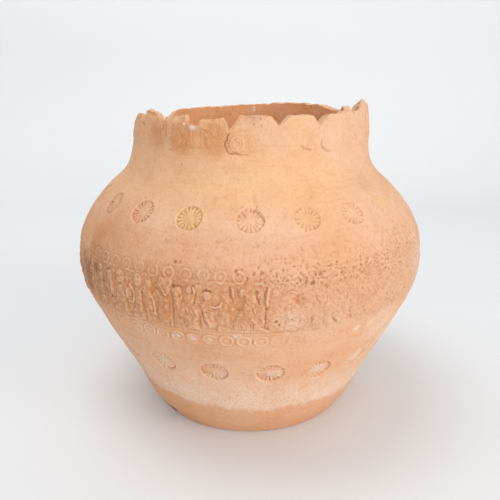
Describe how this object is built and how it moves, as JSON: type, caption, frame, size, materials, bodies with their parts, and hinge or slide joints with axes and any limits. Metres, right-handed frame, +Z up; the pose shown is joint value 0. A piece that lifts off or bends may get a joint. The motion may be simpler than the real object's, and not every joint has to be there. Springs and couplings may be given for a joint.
{
  "type": "storage jar",
  "caption": "Wide-shouldered redware storage jar with a moulded figure frieze, stamped rosettes and a broken, notched neck.",
  "frame": {"origin": "centre of the flat underside, on the surface that the jar stands on", "axes": "+Z up along the jar's axis, -Y towards the front of the frieze, +X to the right seen from the front"},
  "size_m": [0.3012, 0.3015, 0.2693],
  "materials": {
    "terracotta": "matt fired clay, orange-buff, worn and pitted, with pale lime bloom"
  },
  "bodies": {
    "root": {"jar": "terracotta"}
  },
  "joints": []
}
